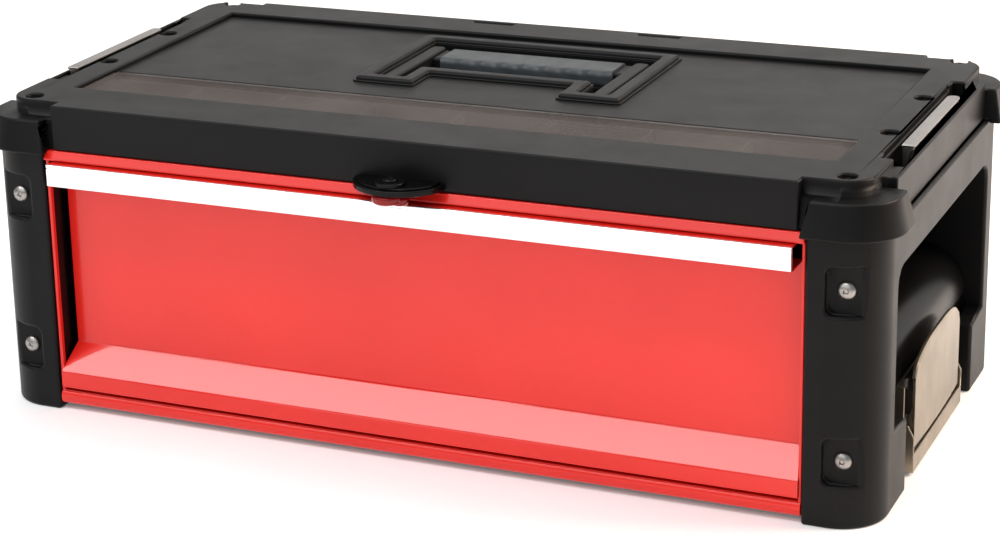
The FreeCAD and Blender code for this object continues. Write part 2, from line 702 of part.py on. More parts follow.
def lock_button():
    """The red turn button and its stem."""
    body = new_body("lock_button")
    centre = (0, -dim.lock_axis)
    pad(body, "XY", (dim.button_low, dim.button_top), ellipse(centre, dim.button_half, dim.button_depth))
    pad(body, "XY", (dim.button_top, dim.hub_top + 0.2), circle(centre, dim.lock_stem))
    pocket(body, "XY", (dim.hub_top - 4, dim.hub_top + 0.2), circle(centre, 1.2))


def lock_screw():
    body = new_body("lock_screw")
    centre, seat = (0, -dim.lock_axis), dim.hub_top + 0.2
    pad(body, "XY", (seat - 4, seat), circle(centre, 1.2))
    pad(body, "XY", (seat, seat + 1.3), circle(centre, dim.lock_screw))


# ---------------------------------------------------------------- keepers

def keeper_middle():
    return (dim.keeper_in + dim.keeper_leg_out) * 0.5


def keeper_rivet_row():
    return dim.keeper_foot + 5.5


def keeper(name, side):
    """A bent strip along the trough: a bar on two legs, with inturned feet."""
    body = new_body(name)
    half, t, floor = dim.keeper_half, dim.sheet, dim.trough_floor
    pad(body, "XY", (dim.keeper_top - t, dim.keeper_top),
        box(outward(side, dim.keeper_in, dim.keeper_out), both(half)))
    width = outward(side, dim.keeper_in, dim.keeper_leg_out)
    for end in ENDS:
        pad(body, "XY", (floor, dim.keeper_top - t), box(width, outward(end, half - t, half)))
        pad(body, "XY", (floor, floor + t), box(width, outward(end, dim.keeper_foot, half - t)))
    pocket(body, "XY", (floor, floor + t),
           *[circle((keeper_middle() * side, keeper_rivet_row() * end), dim.screw_shank + dim.clearance)
             for end in ENDS])


def keeper_rivets():
    body = new_body("keeper_rivets")
    places = [(keeper_middle() * side, keeper_rivet_row() * end) for side in ENDS for end in ENDS]
    seat = dim.trough_floor + dim.sheet
    pad(body, "XY", (dim.trough_floor - dim.wall, seat),
        *[circle(place, dim.screw_shank) for place in places])
    pad(body, "XY", (seat, seat + 1.2), *[circle(place, dim.screw_shank * 1.5) for place in places])


# ---------------------------------------------------------------- side latches

def latch_rivet_places():
    return [(rivet * end, height) for end in ENDS for rivet in (size(30),) for height in (size(21), size(40))]


def latch_housing(name, side):
    """A round-shouldered shell between the legs, open towards the case."""
    body = new_body(name)
    near, far, low, high = dim.housing_in, dim.housing_out, dim.housing_low, dim.housing_top
    length, wall = dim.gap_half - 0.2, dim.wall
    shell = [(near, low), (far, low), (far, high, dim.housing_radius), (near, high)]
    pad(body, "XZ", both(length), turned(side, shell))
    hollow = [(near, low + wall), (far - wall, low + wall),
              (far - wall, high - wall, dim.housing_radius - wall), (near, high - wall)]
    pocket(body, "XZ", both(length - wall), turned(side, hollow))
    holes = [circle(place, dim.screw_shank + dim.clearance) for place in latch_rivet_places()]
    pocket(body, "YZ", outward(side, far - wall, far), *holes)


def latch_base(name, side):
    """The plate riveted to the housing, with a cheek at each end and two lugs for the lever."""
    body = new_body(name)
    plate, face = dim.plate, dim.housing_out
    web = outward(side, face, face + plate)
    pad(body, "YZ", web, box(both(dim.base_half), (dim.base_low, dim.base_high)))
    axis_out, axis_height, knuckle = dim.lever_axis_out, dim.lever_axis_height, dim.knuckle
    for end in ENDS:
        cheek = box((face + plate, dim.cheek_out), (dim.cheek_low, dim.base_high))
        pad(body, "XZ", outward(end, dim.base_half - plate, dim.base_half), turned(side, cheek))
        lug = [(face + plate, axis_height - knuckle), (axis_out + knuckle, axis_height - knuckle, 2.3),
               (axis_out + knuckle, axis_height + knuckle, 2.3), (face + plate, axis_height + knuckle)]
        pad(body, "XZ", outward(end, dim.lug_span - plate, dim.lug_span), turned(side, lug))
    pocket(body, "XZ", both(dim.lug_span),
           circle((axis_out * side, axis_height), dim.latch_pin + dim.running))
    rivet_holes = [circle(place, dim.screw_shank + dim.clearance) for place in latch_rivet_places()]
    pocket(body, "YZ", web, *rivet_holes)


def latch_rivets():
    body = new_body("latch_rivets")
    seat = dim.housing_out + dim.plate
    for side in ENDS:
        pad(body, "YZ", outward(side, dim.housing_out - dim.wall, seat),
            *[circle(place, dim.screw_shank) for place in latch_rivet_places()])
        pad(body, "YZ", outward(side, seat, seat + 1),
            *[circle(place, dim.screw_shank * 1.5) for place in latch_rivet_places()])


def latch_lever(name, side):
    """A crowned plate between two flanges that carry both pins."""
    body = new_body(name)
    half, plate = dim.lever_half, dim.plate
    inside = dim.lever_out - plate
    crown = [(-half, dim.lever_low), (half, dim.lever_low), (half, dim.lever_shoulder),
             (half - 12, dim.lever_shoulder + 9), (half - 32, dim.lever_top),
             (32 - half, dim.lever_top), (12 - half, dim.lever_shoulder + 9), (-half, dim.lever_shoulder)]
    pad(body, "YZ", outward(side, inside, dim.lever_out), crown)
    low, near, far = dim.lever_low + 0.4, dim.lever_axis_out - 3, dim.hook_axis_out - 2.6
    flange = [(inside, low), (near + 1.6, low), (near, low + 1.8), (far, dim.hook_axis_height + 1.6),
              (far + 1.8, dim.hook_axis_height + 3), (inside, dim.hook_axis_height + 12)]
    for end in ENDS:
        pad(body, "XZ", outward(end, half - plate, half), turned(side, flange))
    axes = [(dim.lever_axis_out * side, dim.lever_axis_height),
            (dim.hook_axis_out * side, dim.hook_axis_height)]
    pocket(body, "XZ", both(half), *[circle(axis, dim.latch_pin + dim.running) for axis in axes])


def latch_hook(name, side):
    """Two cheeks hung on the hook pin, joined by a low web whose lower edge turns in as a claw."""
    body = new_body(name)
    out, plate, half, low = dim.lever_out, dim.plate, dim.hook_half, dim.hook_low
    top, near = dim.hook_axis_height + 2.5, dim.hook_axis_out - 2.4
    cheek = [(near, top - 4.5), (near, top - 1), (near + 1, top), (near + 3.8, top), (out, top - 6),
             (out, low), (dim.hook_in, low), (dim.hook_in, dim.hook_web_top)]
    for end in ENDS:
        pad(body, "XZ", outward(end, half - plate, half), turned(side, cheek))
    claw = [(out, low), (out, dim.hook_web_top), (out - plate, dim.hook_web_top), (out - plate, low + plate),
            (dim.hook_in + plate, low + plate), (dim.hook_in + plate, dim.hook_lip),
            (dim.hook_in, dim.hook_lip), (dim.hook_in, low)]
    pad(body, "XZ", both(half - 0.2), turned(side, claw))
    pocket(body, "XZ", both(half), circle((dim.hook_axis_out * side, dim.hook_axis_height),
                                          dim.latch_pin + dim.running))


def lever_pin(name, side):
    body = new_body(name)
    pad(body, "XZ", both(dim.lever_half + 0.8),
        circle((dim.lever_axis_out * side, dim.lever_axis_height), dim.latch_pin))


def hook_pin(name, side):
    body = new_body(name)
    pad(body, "XZ", both(dim.hook_half + 0.8),
        circle((dim.hook_axis_out * side, dim.hook_axis_height), dim.latch_pin))


# ---------------------------------------------------------------- build, check and write

CAP_TAPER = 12.0
WHOLE_PARTS = (case_shell, case_lid, case_back, front_frame, drawer_front, pull_strip, drawer_tray,
               top_deck, deck_panel, deck_screws, carry_handle, handle_grip, handle_pins,
               organiser_tray, bin_dividers, organiser_cover, cover_hinge_pins,
               lock_lug, lock_button, lock_screw, frame_rivets, keeper_rivets, latch_rivets)
SIDED_PARTS = (side_frame, outer_slide, drawer_runner, ball_cage, slide_balls, keeper,
               latch_housing, latch_base, latch_lever, latch_hook, lever_pin, hook_pin)


def check():
    """Stop at a failed feature, a bad shape or a cut that removed nothing."""
    for thing in doc.Objects:
        if "Invalid" in thing.State or "Error" in thing.State:
            raise RuntimeError(f"{thing.Label} did not compute: {thing.State}")
    for feature, base in cuts:
        if feature.Shape.Volume > base.Shape.Volume - 0.01:
            raise RuntimeError(f"{feature.Label} in {feature.getParentGeoFeatureGroup().Label} cuts nothing")
    for part in sub_parts:
        if part.Shape.isNull() or not part.Shape.isValid() or not part.Shape.Solids:
            raise RuntimeError(f"{part.Label} has no valid shape")


for make in WHOLE_PARTS:
    make()
for make in SIDED_PARTS:
    for word, sign in (("left", -1), ("right", 1)):
        make(f"{word}_{make.__name__}", sign)
doc.recompute()
check()
os.makedirs("parts", exist_ok=True)
for part in sub_parts:
    part.Shape.exportStep(f"parts/{part.Label}.step")
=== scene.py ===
import json
import math

import bmesh
import bpy
from mathutils import Matrix, Vector


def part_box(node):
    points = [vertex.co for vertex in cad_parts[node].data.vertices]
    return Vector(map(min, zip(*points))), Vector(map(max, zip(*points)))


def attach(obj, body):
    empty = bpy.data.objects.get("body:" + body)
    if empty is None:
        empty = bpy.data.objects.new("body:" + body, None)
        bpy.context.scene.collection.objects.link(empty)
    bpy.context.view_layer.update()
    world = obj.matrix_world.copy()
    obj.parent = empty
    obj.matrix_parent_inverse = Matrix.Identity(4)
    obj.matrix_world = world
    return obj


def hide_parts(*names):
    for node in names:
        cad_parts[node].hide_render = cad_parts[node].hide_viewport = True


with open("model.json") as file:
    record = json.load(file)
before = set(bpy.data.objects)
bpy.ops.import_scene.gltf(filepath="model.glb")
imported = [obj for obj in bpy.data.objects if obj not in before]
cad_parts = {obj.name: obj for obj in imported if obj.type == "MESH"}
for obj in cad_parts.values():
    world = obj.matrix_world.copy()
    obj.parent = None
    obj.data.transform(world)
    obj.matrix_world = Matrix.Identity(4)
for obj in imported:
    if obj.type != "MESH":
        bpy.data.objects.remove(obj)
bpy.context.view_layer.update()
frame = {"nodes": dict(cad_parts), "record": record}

# Lengths below are in millimetres.  Along Y they are counted from the middle of the side frames,
# as on a drawing, and at() turns them into the frame's own metres.
MM = 0.001
NODES = frame["nodes"]
BODY_OF = {node: body for body, nodes in frame["record"]["behaviour"]["bodies"].items() for node in nodes}
SLOT_OF = {part["node"]: part["material_slot"] for part in frame["record"]["subparts"]}
SIDES = (("left_", -1), ("right_", 1))
frame_low, frame_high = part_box("left_side_frame")
MIDDLE = (frame_low.y + frame_high.y) / 2


def at(x, y, z):
    """A point of the drawing, in the frame's metres."""
    return Vector((x * MM, y * MM + MIDDLE, z * MM))


# ---------------------------------------------------------------- materials

class Look:
    """A node material around one Principled shader.  Its coordinates are the object's, in metres."""

    def __init__(self, name, **sockets):
        self.material = bpy.data.materials.new(name)
        self.material.use_nodes = True
        self.tree = self.material.node_tree
        self.shader = self.tree.nodes["Principled BSDF"]
        for socket, value in sockets.items():
            self.shader.inputs[socket.replace("_", " ")].default_value = value
        self.place = self.node("TexCoord").outputs["Object"]

    def node(self, kind, **properties):
        made = self.tree.nodes.new("ShaderNode" + kind)
        for name, value in properties.items():
            setattr(made, name, value)
        return made

    def link(self, output, target):
        self.tree.links.new(output, target)

    def stretched(self, *scale):
        """Coordinates scaled by axis, for a grain that runs along one of them."""
        mapping = self.node("Mapping")
        mapping.inputs["Scale"].default_value = scale
        self.link(self.place, mapping.inputs["Vector"])
        return mapping.outputs["Vector"]

    def noise(self, scale, detail=4, where=None):
        noise = self.node("TexNoise")
        noise.inputs["Scale"].default_value = scale
        noise.inputs["Detail"].default_value = detail
        self.link(where or self.place, noise.inputs["Vector"])
        return noise.outputs["Fac"]

    def ramp(self, value, low, high):
        """Blends two colours over the middle of a 0 to 1 value."""
        ramp = self.node("ValToRGB")
        for element, position, colour in zip(ramp.color_ramp.elements, (0.35, 0.65), (low, high)):
            element.position = position
            element.color = (*colour, 1)
        self.link(value, ramp.inputs["Fac"])
        return ramp.outputs["Color"]

    def spread(self, value, low, high):
        """A 0 to 1 value spread over another range."""
        spread = self.node("MapRange")
        spread.inputs["To Min"].default_value = low
        spread.inputs["To Max"].default_value = high
        self.link(value, spread.inputs["Value"])
        return spread.outputs["Result"]

    def bump(self, *layers):
        """Stacks (height, strength, distance) layers on the surface."""
        below = None
        for height, strength, distance in layers:
            bump = self.node("Bump")
            bump.inputs["Strength"].default_value = strength
            bump.inputs["Distance"].default_value = distance
            self.link(height, bump.inputs["Height"])
            if below:
                self.link(below, bump.inputs["Normal"])
            below = bump.outputs["Normal"]
        self.link(below, self.shader.inputs["Normal"])

    def worn_and_highlit_edges(self, colour, edge, amount):
        """The colour, with a paler one where edges stand proud: partly rubbed wear, partly a painted edge
        highlight.
        """
        proud = self.node("MapRange")
        proud.inputs["From Min"].default_value = 0.52
        proud.inputs["From Max"].default_value = 0.66
        proud.inputs["To Max"].default_value = amount
        self.link(self.node("NewGeometry").outputs["Pointiness"], proud.inputs["Value"])
        mix = self.node("Mix", data_type="RGBA")
        mix.inputs["B"].default_value = (*edge, 1)
        self.link(proud.outputs["Result"], mix.inputs["Factor"])
        self.link(colour, mix.inputs["A"])
        return mix.outputs["Result"]

    def colour(self, output):
        self.link(output, self.shader.inputs["Base Color"])

    def roughness(self, output):
        self.link(output, self.shader.inputs["Roughness"])


def moulded_plastic(name, dark, light, gloss, edge):
    """Injection-moulded plastic: a spark-eroded grain over faint flow marks."""
    look = Look(name, IOR=1.23)
    flow = look.noise(16, where=look.stretched(0.4, 1.6, 1.6))
    # Proud edges are paler: rubbed wear and a painted edge highlight.
    look.colour(look.worn_and_highlit_edges(look.ramp(flow, dark, light), edge, 0.5))
    look.roughness(look.spread(look.noise(45), gloss - 0.07, gloss + 0.07))
    look.bump((look.noise(2400, 2), 0.14, 0.12 * MM), (look.noise(40), 0.06, 0.5 * MM))
    return look


def charcoal_plastic():
    # The last colour is that of the proud edges: rubbed wear and a painted edge highlight.
    return moulded_plastic("charcoal_plastic", (0.0038, 0.0038, 0.004), (0.006, 0.006, 0.0063), 0.40,
                           (0.03, 0.03, 0.031))


def tray_plastic():
    # The last colour is that of the proud edges: rubbed wear and a painted edge highlight.
    return moulded_plastic("tray_plastic", (0.075, 0.06, 0.052), (0.11, 0.089, 0.078), 0.45,
                           (0.16, 0.14, 0.125))


def baked_paint(name, dark, light, gloss, clear, bend=1.36):
    """Baked enamel with a trace of orange peel under a clear skin."""
    look = Look(name, IOR=bend, Coat_Weight=clear, Coat_Roughness=0.07, Roughness=gloss)
    look.colour(look.ramp(look.noise(9), dark, light))
    look.bump((look.noise(420, 2), 0.06, 0.15 * MM))
    return look


def red_paint():
    return baked_paint("red_paint", (0.68, 0.012, 0.006), (0.74, 0.016, 0.009), 0.30, 0.5)


def black_paint():
    return baked_paint("black_paint", (0.0015, 0.0015, 0.0017), (0.003, 0.003, 0.0033), 0.26, 0.0, 1.24)


def grained_metal(name, dark, light, gloss, *along):
    """Metal with a fine rolled grain along the axis whose scale is small."""
    look = Look(name, Metallic=1.0)
    grain = look.noise(900, 3, look.stretched(*along))
    look.colour(look.ramp(look.noise(45), dark, light))
    look.roughness(look.spread(grain, gloss - 0.08, gloss + 0.08))
    look.bump((grain, 0.10, 0.06 * MM), (look.noise(70), 0.05, 0.3 * MM))
    return look


# The grain of the strip runs along X, that of the zinc along Z and that of the steel along Y.
def strip_aluminium():
    return grained_metal("strip_aluminium", (0.93, 0.94, 0.95), (0.98, 0.98, 0.99), 0.34, 0.02, 1, 1)


def zinc():
    return grained_metal("zinc", (0.25, 0.215, 0.165), (0.32, 0.275, 0.215), 0.36, 1, 1, 0.05)


def bright_steel():
    return grained_metal("bright_steel", (0.31, 0.295, 0.28), (0.38, 0.365, 0.35), 0.34, 1, 0.05, 1)


def smoke_window():
    """Smoked clear plastic."""
    look = Look("smoke_window", Roughness=0.24, IOR=1.3, Alpha=0.42, Coat_Weight=0.1, Coat_Roughness=0.1)
    look.colour(look.ramp(look.noise(22), (0.085, 0.072, 0.066), (0.125, 0.108, 0.10)))
    look.bump((look.noise(60), 0.04, 0.2 * MM))
    return look


def grip_rubber():
    """Soft grey rubber, matt in patches."""
    look = Look("grip_rubber", IOR=1.45)
    look.colour(look.ramp(look.noise(30), (0.026, 0.032, 0.037), (0.044, 0.052, 0.058)))
    look.roughness(look.spread(look.noise(90), 0.36, 0.52))
    look.bump((look.noise(1500, 2), 0.12, 0.12 * MM))
    return look


def red_plastic():
    """The glossy red of the lock's knob."""
    look = Look("red_plastic", IOR=1.32, Roughness=0.14, Coat_Weight=0.2, Coat_Roughness=0.05)
    look.colour(look.ramp(look.noise(50), (0.17, 0.0008, 0.0015), (0.24, 0.0015, 0.0025)))
    look.bump((look.noise(200), 0.03, 0.1 * MM))
    return look


LOOKS = {make.__name__: make().material for make in
         (charcoal_plastic, tray_plastic, red_paint, black_paint, strip_aluminium, zinc, bright_steel,
          smoke_window, grip_rubber, red_plastic)}


# ---------------------------------------------------------------- mesh helpers

WELD = 0.002 * MM
FLAT_BELOW = math.radians(0.3)
SMOOTH_BELOW = math.radians(32)
ARC_STEPS = 5


def merge_flat_faces(bm, splits):
    """Makes each flat face one face, parted where a plane crosses it, so that none has a hole."""
    bmesh.ops.remove_doubles(bm, verts=bm.verts, dist=WELD)
    for axis, level in splits:
        across = Vector([float(axis == name) for name in "xyz"])
        everything = list(bm.verts) + list(bm.edges) + list(bm.faces)
        parted = bmesh.ops.bisect_plane(bm, geom=everything, dist=WELD, plane_co=at(level, level, level),
                                        plane_no=across)
        for thing in parted["geom_cut"]:
            if isinstance(thing, bmesh.types.BMEdge):
                thing.seam = True
    bmesh.ops.dissolve_limit(bm, angle_limit=FLAT_BELOW, verts=bm.verts, edges=bm.edges,
                             delimit={"SEAM"})


def finish_piece(name, bm, node, replaced=(), bevel=0.0, segments=2, look=None, splits=(("x", 0),),
                 clamp=True, sheet=0.0):
    """Turns a mesh into a piece that rides with a node's body and takes its slot.

    Only sharp edges that stand proud are bevelled.  A sheet is a surface that gets a thickness.
    """
    merge_flat_faces(bm, splits)
    bmesh.ops.recalc_face_normals(bm, faces=bm.faces)
    weights = bm.edges.layers.float.new("bevel_weight_edge")
    for edge in bm.edges:
        if edge.is_convex and edge.calc_face_angle(0) > SMOOTH_BELOW:
            edge[weights] = 1
    mesh = bpy.data.meshes.new(name)
    bm.to_mesh(mesh)
    bm.free()
    mesh.materials.append(LOOKS[look or SLOT_OF[node]])
    mesh.shade_smooth()
    mesh.set_sharp_from_angle(angle=SMOOTH_BELOW)
    piece = bpy.data.objects.new(name, mesh)
    bpy.context.scene.collection.objects.link(piece)
    if bevel:
        rounding = piece.modifiers.new("rounded_edges", "BEVEL")
        rounding.width = bevel * MM
        rounding.segments = segments
        rounding.limit_method = "WEIGHT"
        rounding.use_clamp_overlap = clamp
        rounding.miter_outer = "MITER_ARC"
    if sheet:
        thickness = piece.modifiers.new("sheet", "SOLIDIFY")
        thickness.thickness = sheet * MM
        thickness.offset = -1
    flat = piece.modifiers.new("flat_faces", "WEIGHTED_NORMAL")
    flat.keep_sharp = True
    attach(piece, BODY_OF[node])
    if replaced:
        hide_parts(*replaced)


def rounded_copy(node, bevel, segments=2, look=None, splits=(("x", 0),)):
    """The CAD node's own shape with its edges rounded."""
    bm = bmesh.new()
    bm.from_mesh(NODES[node].data)
    finish_piece("rounded_" + node, bm, node, [node], bevel, segments, look, splits, clamp=False)


def rounded(corners, steps=ARC_STEPS):
    """The points of a closed outline.  A corner (a, b, radius) becomes an arc of that radius."""
    points = []
    for i, corner in enumerate(corners):
        here = Vector(corner[:2])
        if len(corner) == 2:
            points.append(here)
            continue
        back = (Vector(corners[i - 1][:2]) - here).normalized()
        on = (Vector(corners[(i + 1) % len(corners)][:2]) - here).normalized()
        half_angle = back.angle(on) / 2
        centre = here + (back + on).normalized() * (corner[2] / math.sin(half_angle))
        start = here + back * (corner[2] / math.tan(half_angle)) - centre
        turn = math.pi - 2 * half_angle
        if back.x * on.y - back.y * on.x > 0:
            turn = -turn
        for step in range(steps + 1):
            angle = turn * step / steps
            spun = Vector((start.x * math.cos(angle) - start.y * math.sin(angle),
                           start.x * math.sin(angle) + start.y * math.cos(angle)))
            points.append(centre + spun)
    return points


def rectangle(first, second, *radius):
    """An outline from a pair of limits along each axis, with all four corners rounded alike."""
    corners = [(first[0], second[0]), (first[1], second[0]), (first[1], second[1]), (first[0], second[1])]
    return rounded([corner + radius for corner in corners])


def oval(centre, half_first, half_second, steps=40):
    """The points of an ellipse."""
    turns = [2 * math.pi * step / steps for step in range(steps)]
    return [Vector((centre[0] + half_first * math.cos(turn), centre[1] + half_second * math.sin(turn)))
            for turn in turns]


# How the two numbers of an outline and a level across its plane make a point.
PLACERS = {
    "XY": lambda a, b, level: at(a, b, level),
    "XZ": lambda a, b, level: at(a, level, b),
    "YZ": lambda a, b, level: at(level, a, b),
}


def add_prism(bm, plane, levels, outline, *holes):
    """A solid between two levels of the axis across the plane, with holes through it."""
    place = PLACERS[plane]
    edges = []
    for loop in (outline, *holes):
        corners = [bm.verts.new(place(point[0], point[1], levels[0])) for point in loop]
        edges += [bm.edges.new((corners[i - 1], corners[i])) for i in range(len(corners))]
    faces = [thing for thing in bmesh.ops.triangle_fill(bm, use_beauty=True, edges=edges)["geom"]
             if isinstance(thing, bmesh.types.BMFace)]
    raised = bmesh.ops.extrude_face_region(bm, geom=faces)["geom"]
    shift = place(0, 0, levels[1]) - place(0, 0, levels[0])
    bmesh.ops.translate(bm, vec=shift, verts=[v for v in raised if isinstance(v, bmesh.types.BMVert)])


def add_grid(bm, rows, closed_rows=False, closed_ends=False):
    """A surface through rows of points, each row as long as the next."""
    lines = [[bm.verts.new(point) for point in row] for row in rows]
    count = len(lines[0])
    for low, high in zip(lines, lines[1:]):
        for i in range(count if closed_rows else count - 1):
            corners = (low[i], low[(i + 1) % count], high[(i + 1) % count], high[i])
            bm.faces.new(corners)
    if closed_ends:
        bm.faces.new(lines[0])
        bm.faces.new(lines[-1])


def add_turned(bm, centre, axis, profile, steps=24):
    """A solid of revolution: (radius, height) points turned about an axis through the centre."""
    side, across = axis.orthogonal().normalized(), axis.cross(axis.orthogonal()).normalized()
    turns = [2 * math.pi * step / steps for step in range(steps)]
    spokes = [side * math.cos(turn) + across * math.sin(turn) for turn in turns]
    rows = [[centre + (axis * height + spoke * radius) * MM for spoke in spokes]
            for radius, height in profile]
    add_grid(bm, rows, closed_rows=True, closed_ends=True)


def swept(name, node, section, half, **kwargs):
    """A solid along X between -half and half, from a section in Y and Z."""
    bm = bmesh.new()
    add_prism(bm, "YZ", (-half, half), section)
    finish_piece(name, bm, node, **kwargs)


def prism_piece(name, node, prisms, **kwargs):
    """One piece from several (plane, levels, outline, holes...) prisms."""
    bm = bmesh.new()
    for prism in prisms:
        add_prism(bm, *prism)
    finish_piece(name, bm, node, **kwargs)


# ---------------------------------------------------------------- drawer front

PANEL_HALF, LIP_HALF, STRIP_HALF = 200.2, 203.2, 199.9
LIP_LOW, LIP_TOP, SLOPE_TOP = 12.6, 21.6, 35.0
LIP_FACE, PANEL_FACE = -124.0, -110.0
HEM_FACE, HEM_LOW, HEM_TOP = -127.7, 127.0, 139.4


def drawer_front():
    """Pressed sheet: a wide lip, a sloping shoulder cut off at an angle, a flat panel and a hem."""
    crease, rise_in = 0.5, 0.4
    section = rounded([(PANEL_FACE + 1, LIP_LOW), (LIP_FACE, LIP_LOW, 1.2), (LIP_FACE, LIP_TOP - crease),
                       (LIP_FACE + rise_in, LIP_TOP), (LIP_FACE + rise_in * 0.6, LIP_TOP + crease),
                       (PANEL_FACE - 0.4, SLOPE_TOP - crease), (PANEL_FACE + rise_in, SLOPE_TOP),
                       (PANEL_FACE, SLOPE_TOP + crease),
                       (PANEL_FACE, HEM_LOW, 0.8), (HEM_FACE, HEM_LOW, 0.8), (HEM_FACE, HEM_TOP, 1.2),
                       (PANEL_FACE + 1, HEM_TOP)], 4)
    bm = bmesh.new()
    rows = []
    for y, z in section:
        rise = min(1, max(0, (z - LIP_TOP) / (SLOPE_TOP - LIP_TOP)))
        half = LIP_HALF + (PANEL_HALF - LIP_HALF) * rise if z < HEM_LOW else STRIP_HALF
        rows.append([at(x, y, z) for x in (-half, 0, half)])
    add_grid(bm, rows)
    finish_piece("pressed_front", bm, "drawer_front", ["drawer_front"], sheet=1.0)


def pull_strip():
    """A rolled strip with a fine groove close under its top edge."""
    face, back, low, high = -129.5, -127.75, 127.6, 139.3
    section = rounded([(back, low), (face, low, 0.7), (face, high - 2.2), (face + 0.5, high - 2.0),
                       (face + 0.5, high - 1.7), (face, high - 1.5), (face, high, 0.8), (back, high)], 4)
    swept("rolled_strip", "pull_strip", section, STRIP_HALF, replaced=["pull_strip"])


RAIL_HALF = 204.4


def front_frame():
    """The red ring, with a rolled head rail and a rolled bottom rail in front of it."""
    rounded_copy("front_frame", 0.5)
    head = rounded([(-122.0, 144.7), (-122.4, 144.0), (-123.1, 142.7, 2), (-124.2, 140.9, 0.5),
                    (-124.2, 140.2), (-122.0, 140.2)])
    swept("head_rail", "front_frame", head, RAIL_HALF)
    middle, half = 7.0, 3.4
    foot = [Vector((-122.2 - 1.5 * math.cos(turn), middle + half * math.sin(turn)))
            for turn in (math.radians(-90 + 15 * step) for step in range(13))]
    swept("bottom_rail", "front_frame", foot, RAIL_HALF)


drawer_front()
pull_strip()
front_frame()


# ---------------------------------------------------------------- deck

def well_outline(grow=0.0, radius=1.0):
    """The handle's well seen from above: two leg slots running into one wide slot."""
    half, rear, front, tongue, step = 66 + grow, 71 + grow, -8 - grow, 50 - grow, 14 - grow
    return rounded([(-half, front, radius), (-tongue, front, radius), (-tongue, step, radius),
                    (tongue, step, radius), (tongue, front, radius), (half, front, radius),
                    (half, rear, radius), (-half, rear, radius)], 4)


def deck_panel():
    """The sunk panel, the tub of the handle's well, and the crowned border around it."""
    under, floor, panel_low, panel_top, border_top, lap = 149, 152, 163.3, 166.5, 167.4, 0.1
    well = well_outline()
    tub = rectangle((-69, 69), (-11, 74))
    prism_piece("sunk_panel", "deck_panel",
                [("XY", (panel_low, panel_top), rectangle((-207.9, 207.9), (-39.5, 92.6)), well)],
                replaced=["deck_panel"], bevel=0.3)
    prism_piece("well_tub", "deck_panel",
                [("XY", (floor, panel_low + lap), tub, well), ("XY", (under, floor), tub)])
    prism_piece("well_border", "deck_panel",
                [("XY", (panel_top - lap, border_top), well_outline(10, 2), well)], bevel=0.4)
    bm = bmesh.new()
    crown = [(0.9, panel_top), (0.9, 167.9), (1.1, 168.6), (1.7, 169.2), (2.6, 169.5), (7.1, 169.5),
             (8.0, 169.2), (8.6, 168.6), (8.8, 167.9), (8.8, panel_top), (0.9, panel_top)]
    add_grid(bm, [[at(*point, z) for point in well_outline(grow, 2.2)] for grow, z in crown],
             closed_rows=True)
    finish_piece("well_ridge", bm, "deck_panel", splits=[("x", -58), ("x", 0), ("x", 58)])


COVER_HALF = 207.5


def organiser():
    """The ribbed clear cover, and the bins seen through it."""
    low, top, rib, pitch, per_rib = 164.4, 166.3, 0.6, 3.6, 4
    front, rear, border = -83.6, -40.3, 1.0
    section = [Vector((front, low)), Vector((front, top))]
    steps = int((rear - front - 2 * border) / pitch) * per_rib
    for step in range(steps + 1):
        y = front + border + step * pitch / per_rib
        section.append(Vector((y, top + rib * math.sin(math.pi * step / per_rib) ** 2)))
    section += [Vector((rear, top)), Vector((rear, low))]
    swept("ribbed_cover", "organiser_cover", section, COVER_HALF, replaced=["organiser_cover"])
    rounded_copy("organiser_tray", 0.4, look="tray_plastic")
    rounded_copy("bin_dividers", 0.2, look="tray_plastic")


SCREW_X, SCREW_ROWS, SCREW_RADIUS = 219, (-106, -30, 36, 113.5), 4.4


def deck_screws():
    """Pan heads with a cross recess."""
    arm, width = 2.6, 0.55
    seat, recess, crown = 165, 166.2, 167.2
    cross = [(-width, -arm), (width, -arm), (width, -width), (arm, -width), (arm, width), (width, width),
             (width, arm), (-width, arm), (-width, width), (-arm, width), (-arm, -width), (-width, -width)]
    bm = bmesh.new()
    for side in (-1, 1):
        for y in SCREW_ROWS:
            x = SCREW_X * side
            slots = [Vector((x + a, y + b)) for a, b in cross]
            head = oval((x, y), SCREW_RADIUS, SCREW_RADIUS, 28)
            add_prism(bm, "XY", (recess, crown), head, slots)
            add_prism(bm, "XY", (seat, recess), head)
    finish_piece("cross_screws", bm, "deck_screws", ["deck_screws"], bevel=0.25, look="black_paint",
                 splits=(("x", -SCREW_X), ("x", SCREW_X)))


rounded_copy("top_deck", 1.1, 3,
             splits=[("x", level) for level in (-231, -SCREW_X, -50, 0, 50, SCREW_X, 231)])
deck_panel()
organiser()
deck_screws()


# ---------------------------------------------------------------- carry handle

def carry_handle():
    """The bail: two legs and the bar that runs through the grip."""
    reach, half_width = 59.8, 4
    legs = [rectangle((reach * side - half_width, reach * side + half_width), (-5, 62.5), 2.5)
            for side in (-1, 1)]
    bar = rectangle((42.5, 61), (159, 166), 1.5)
    prism_piece("bail", "carry_handle",
                [("XY", (157.5, 167.5), leg) for leg in legs] + [("YZ", (-56, 56), bar)],
                replaced=["carry_handle"], bevel=1.0, segments=3)


